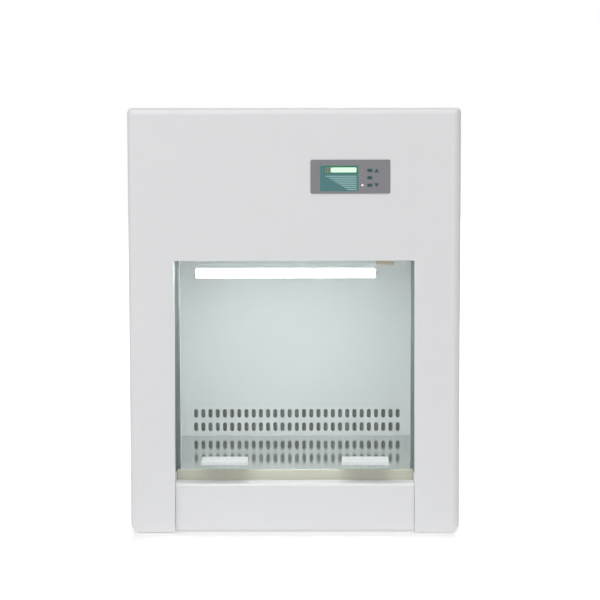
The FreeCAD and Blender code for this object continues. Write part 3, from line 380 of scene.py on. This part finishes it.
lcd_low, lcd_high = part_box("lcd_window")
field_low = lcd_low.z + 0.0020
field_high = lcd_low.z + 0.0117
field_corners = 14.0
glow_left = lcd_low.x + 0.0134
glow_right = lcd_high.x - 0.0012
glow_field = (glow_left, glow_right, field_low, field_high)
mint = grained("lcd_mint", (0.48, 0.70, 0.50), (0.45, 0.66, 0.47), 0.2, 0.05, Emission_Strength=0.42,
               Emission_Color=(0.74, 1.0, 0.78, 1.0))
film_patches("display_glow", [glow_field], lcd_low.y, field_corners, mint)
cell_left = lcd_low.x + 0.0018
cell_right = glow_left - 0.0003
cell_field = (cell_left, cell_right, field_low, field_high)
cell_grey = grained("cell_grey", (0.30, 0.34, 0.27), (0.26, 0.30, 0.24), 0.3, 0.05)
film_patches("display_cell", [cell_field], lcd_low.y, field_corners, cell_grey)
glyph_size = 0.0036
glyph_gap = 0.0012
glyph_corners = 5.0
glyphs = []
for column in range(2):
    for row in range(2):
        x = cell_left + glyph_gap + column * (glyph_size + glyph_gap)
        z = field_low + glyph_gap + row * (glyph_size + glyph_gap / 2)
        glyphs.append((x, x + glyph_size, z, z + glyph_size))
glyph_ink = grained("glyph_ink", (0.10, 0.11, 0.10), (0.08, 0.09, 0.08), 0.3, 0.05)
cell_face = lcd_low.y - film_proud
film_patches("display_glyphs", glyphs, cell_face, glyph_corners, glyph_ink)

led_low, led_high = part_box("indicator_leds")
led_size = led_high.x - led_low.x
led_corners = 2.0
lit_led = (led_low.x, led_high.x, led_low.z, led_low.z + led_size)
lit = grained("led_lit", (0.9, 0.75, 0.65), (0.85, 0.70, 0.60), 0.3, 0.05, Emission_Strength=1.6,
              Emission_Color=(1.0, 0.85, 0.72, 1.0))
film_patches("lit_indicator", [lit_led], led_low.y, led_corners, lit)

# Power module and fasteners: black moulded inlet, fuse drawer and rocker with brass blades.
# The module snaps into the rear panel; plated screws and pillars hold the panels and the board.
black = grained("black_plastic", (0.025, 0.025, 0.03), (0.04, 0.04, 0.045), 0.45, 0.1)
dress(black, "power_inlet")
drawer_black = grained("drawer_black", (0.045, 0.045, 0.05), (0.055, 0.055, 0.06), 0.55, 0.1)
dress(drawer_black, "fuse_drawer")
rocker_black = grained("rocker_black", (0.012, 0.012, 0.014), (0.016, 0.016, 0.018), 0.18, 0.06)
dress(rocker_black, "power_rocker")
brass = grained("pin_brass", (0.75, 0.60, 0.30), (0.68, 0.54, 0.26), 0.25, 0.1, Metallic=1.0)
dress(brass, "inlet_pins")
plated = grained("screw_steel", (0.65, 0.66, 0.68), (0.58, 0.59, 0.61), 0.25, 0.1, Metallic=1.0)
dress(plated, "cover_screws", "rear_screws", "fan_shaft", "board_standoffs")

# Stage: a pale floor, a white surround that lights softly, soft boxes and the photograph's camera.
# The floor and the surround are whiter to the camera than as lights; near the cabinet the floor's glow is
# painted light and painted shadow.
floor_half = 40.0
corners = np.array([(-1, -1, 0), (1, -1, 0), (1, 1, 0), (-1, 1, 0)]) * floor_half
ground = bpy.data.meshes.new("floor")
ground.from_pydata(corners.tolist(), [], [(0, 1, 2, 3)])
floor = bpy.data.objects.new("floor", ground)
bpy.context.scene.collection.objects.link(floor)
floor_paint = bpy.data.materials.new("floor_white")
floor_paint.use_nodes = True
floor_shader = floor_paint.node_tree.nodes["Principled BSDF"]
floor_shader.inputs["Base Color"].default_value = (0.8, 0.8, 0.8, 1.0)
floor_shader.inputs["Roughness"].default_value = 0.9
floor_shader.inputs["Emission Strength"].default_value = 1.0
node = floor_paint.node_tree.nodes.new
wire = floor_paint.node_tree.links.new
spot = node("ShaderNodeTexCoord")
along = node("ShaderNodeSeparateXYZ")
wire(spot.outputs["Object"], along.inputs[0])


def ramp(source, start, end, first, last):
    """A straight ramp from one value to another between two places, level beyond them."""
    step = node("ShaderNodeMapRange")
    step.inputs["From Min"].default_value = start
    step.inputs["From Max"].default_value = end
    step.inputs["To Min"].default_value = first
    step.inputs["To Max"].default_value = last
    wire(source, step.inputs["Value"])
    return step.outputs["Result"]


def figured(operation, first, second):
    """One Math node on two values, which may be outputs or plain numbers."""
    step = node("ShaderNodeMath")
    step.operation = operation
    for socket, given in zip(step.inputs, (first, second)):
        if isinstance(given, float):
            socket.default_value = given
        else:
            wire(given, socket)
    return step.outputs["Value"]


reach = node("ShaderNodeVectorMath")
reach.operation = "LENGTH"
wire(spot.outputs["Object"], reach.inputs[0])
beside = figured("ABSOLUTE", along.outputs["X"], 0.0)
far_white = ramp(reach.outputs["Value"], start=0.5, end=6.0, first=0.02, last=1.0)
# Painted shadow: the floor's glow is dim at the cabinet's front and brightens over 0.3 m in front of it.
fore_end = fascia_front - 0.30
painted_front_shadow = ramp(along.outputs["Y"], start=fascia_front, end=fore_end, first=0.09, last=0.60)
# Painted light: the floor's glow rises just beside the cabinet and washes out its shadow there.
painted_side_light = ramp(beside, start=0.305, end=0.350, first=0.02, last=0.64)
# Painted light: the floor just under the cabinet's front glows, over the shade there.
under_end = fascia_front + 0.015
painted_under_light = ramp(along.outputs["Y"], start=fascia_front, end=under_end, first=0.02, last=0.36)
painted_foot_light = figured("MAXIMUM", painted_side_light, painted_under_light)
backdrop_and_painted_light = figured("MAXIMUM", far_white, figured("MAXIMUM", painted_front_shadow, painted_foot_light))
from_front = figured("ABSOLUTE", figured("SUBTRACT", along.outputs["Y"], fascia_front), 0.0)
cast_white = ramp(from_front, start=0.0, end=0.08, first=0.40, last=0.20)
eye = node("ShaderNodeLightPath")
chosen = node("ShaderNodeMix")
wire(eye.outputs["Is Camera Ray"], chosen.inputs["Factor"])
wire(cast_white, chosen.inputs["A"])
wire(backdrop_and_painted_light, chosen.inputs["B"])
wire(chosen.outputs["Result"], floor_shader.inputs["Emission Color"])
ground.materials.append(floor_paint)

world = bpy.data.worlds.new("surround")
bpy.context.scene.world = world
world.use_nodes = True
sky = world.node_tree
seen = sky.nodes["Background"]
seen.inputs["Color"].default_value = (1.0, 1.0, 1.0, 1.0)
seen.inputs["Strength"].default_value = 1.0
lighting = sky.nodes.new("ShaderNodeBackground")
lighting.inputs["Color"].default_value = (1.0, 1.0, 1.0, 1.0)
lighting.inputs["Strength"].default_value = 0.27
path = sky.nodes.new("ShaderNodeLightPath")
either = sky.nodes.new("ShaderNodeMixShader")
sky.links.new(path.outputs["Is Camera Ray"], either.inputs["Fac"])
sky.links.new(lighting.outputs["Background"], either.inputs[1])
sky.links.new(seen.outputs["Background"], either.inputs[2])
sky.links.new(either.outputs["Shader"], sky.nodes["World Output"].inputs["Surface"])


def softbox(name, place, aim, width, height, power):
    """A flat area light at a place, turned to face an aim point."""
    lamp = bpy.data.lights.new(name, "AREA")
    lamp.shape = "RECTANGLE"
    lamp.size = width
    lamp.size_y = height
    lamp.energy = power
    holder = bpy.data.objects.new(name, lamp)
    holder.location = place
    toward = np.array(aim) - np.array(place)
    holder.rotation_euler = (math.acos(-toward[2] / np.linalg.norm(toward)), 0.0,
                             math.atan2(toward[1], toward[0]) - math.pi / 2)
    bpy.context.scene.collection.objects.link(holder)
    return holder


softbox("overhead", place=(-0.8, -3.6, 7.4), aim=(0.0, -0.2, 0.4), width=8.0, height=8.0, power=480.0)
softbox("left_front", place=(-2.4, -1.8, 1.4), aim=(0.0, -0.2, 0.5), width=1.4, height=1.4, power=8.0)
front = softbox("front", place=(0.3, -5.0, 1.0), aim=(0.0, -0.2, 0.4), width=4.0, height=2.0, power=25.0)
front.visible_glossy = False
softbox("rear", place=(1.2, 4.5, 2.6), aim=(0.0, 0.0, 0.4), width=3.0, height=3.0, power=100.0)

camera_distance = 3.006
camera_height = 0.6721
camera_x = 0.032
camera_pitch = 3.961
camera_yaw = 0.389
camera_roll = 0.124
focal_pixels = 1534.8
image_pixels = 600.0
sensor = 36.0
camera = bpy.data.cameras.new("camera")
camera.sensor_width = sensor
camera.lens = sensor * focal_pixels / image_pixels
viewer = bpy.data.objects.new("camera", camera)
viewer.location = (camera_x, fascia_front - camera_distance, camera_height)
viewer.rotation_euler = [math.radians(a) for a in (90 - camera_pitch, camera_roll, camera_yaw)]
bpy.context.scene.collection.objects.link(viewer)
bpy.context.scene.camera = viewer
bpy.context.scene.view_settings.view_transform = "Standard"
